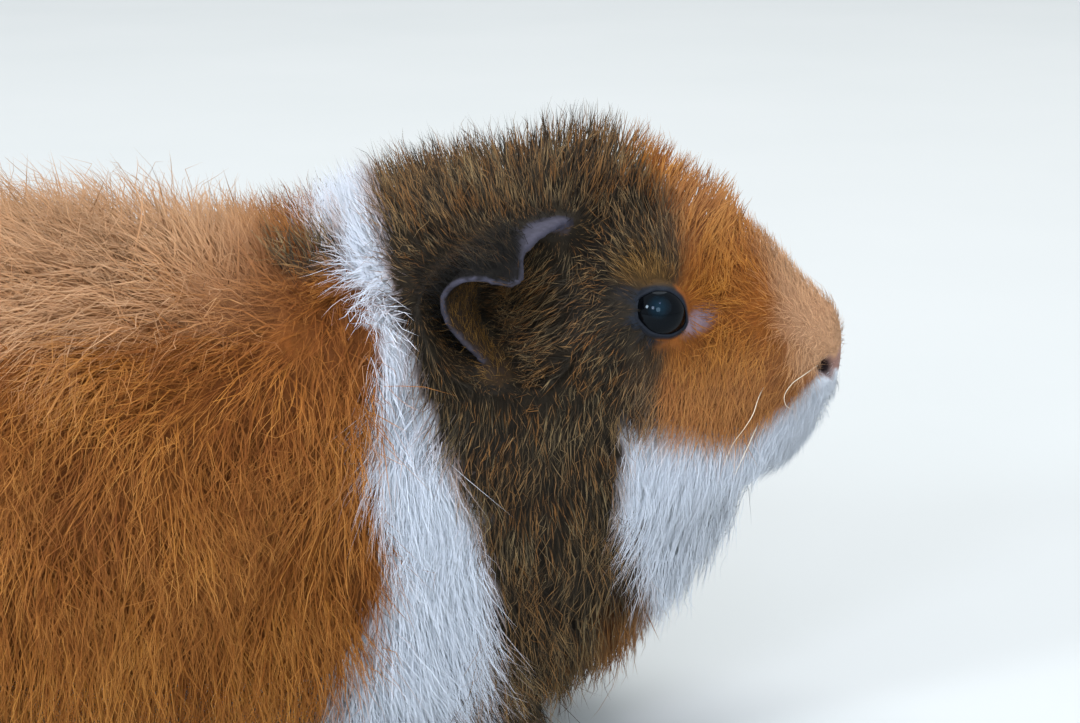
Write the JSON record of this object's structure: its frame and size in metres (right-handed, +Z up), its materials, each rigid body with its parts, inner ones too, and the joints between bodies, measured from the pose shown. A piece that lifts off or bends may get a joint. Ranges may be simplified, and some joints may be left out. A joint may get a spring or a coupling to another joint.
{
  "type": "guinea pig",
  "caption": "Rex-coated guinea pig standing still with its head raised, short upright fur, petal ears and bare clawed feet. Life size, in ginger, white and dark ticked brown.",
  "frame": {"origin": "on the floor, below the middle of the body", "axes": "+X from rump to nose, +Y to the animal's left, +Z up"},
  "size_m": [0.262, 0.123, 0.119],
  "materials": {
    "coat_ginger": "soft fur",
    "coat_white": "soft fur",
    "coat_agouti": "soft ticked fur",
    "ear_skin": "thin bare skin",
    "foot_skin": "bare skin",
    "eye": "wet gloss",
    "claw": "smooth horn"
  },
  "bodies": {
    "root": {"head": "coat_agouti", "neck": "coat_white", "trunk": "coat_ginger", "leg_front_right": "coat_ginger", "leg_front_left": "coat_ginger", "leg_hind_right": "coat_ginger", "leg_hind_left": "coat_ginger", "foot_front_right": "foot_skin", "foot_front_left": "foot_skin", "foot_hind_right": "foot_skin", "foot_hind_left": "foot_skin", "claw_front_right_1": "claw", "claw_front_right_2": "claw", "claw_front_right_3": "claw", "claw_front_right_4": "claw", "claw_front_left_1": "claw", "claw_front_left_2": "claw", "claw_front_left_3": "claw", "claw_front_left_4": "claw", "claw_hind_right_1": "claw", "claw_hind_right_2": "claw", "claw_hind_right_3": "claw", "claw_hind_left_1": "claw", "claw_hind_left_2": "claw", "claw_hind_left_3": "claw", "ear_right": "ear_skin", "ear_left": "ear_skin", "eye_right": "eye", "eye_left": "eye"}
  },
  "joints": []
}
